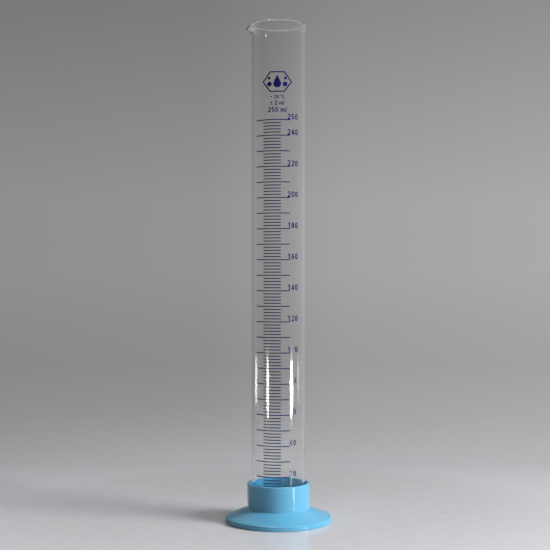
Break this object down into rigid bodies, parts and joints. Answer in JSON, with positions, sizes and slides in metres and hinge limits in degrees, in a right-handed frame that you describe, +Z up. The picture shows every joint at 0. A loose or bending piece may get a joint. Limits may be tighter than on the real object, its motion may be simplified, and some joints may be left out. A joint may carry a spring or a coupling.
{
  "type": "graduated cylinder",
  "caption": "Tall glass measuring cylinder with a fire-polished rim, a pouring spout and a printed scale, standing in a round moulded plastic foot.",
  "frame": {"origin": "centre of the foot's underside, on the surface that the cylinder stands on", "axes": "+Z up along the tube's axis; the scale faces -Y and the spout points to -X"},
  "size_m": [0.0744, 0.0744, 0.3484],
  "materials": {
    "foot_plastic": "moulded polypropylene, satin gloss",
    "pad_rubber": "matt soft pad",
    "glass": "clear, fire-polished rim",
    "enamel": "fired dark blue enamel, slightly glossy"
  },
  "bodies": {
    "foot": {"foot": "foot_plastic"},
    "pad": {"seat_pad": "pad_rubber"},
    "tube": {"glass_tube": "glass", "long_lines": "enamel", "short_lines": "enamel", "numerals": "enamel", "header": "enamel"}
  },
  "joints": [
    {"name": "tube_turn", "type": "hinge", "parent": "foot", "child": "pad", "pos_m": [0, 0, 0.0062], "axis": [0, 0, 1], "continuous": true},
    {"name": "tube_lift", "type": "slide", "parent": "pad", "child": "tube", "axis": [0, 0, 1], "range_m": [0, 0.05]}
  ]
}
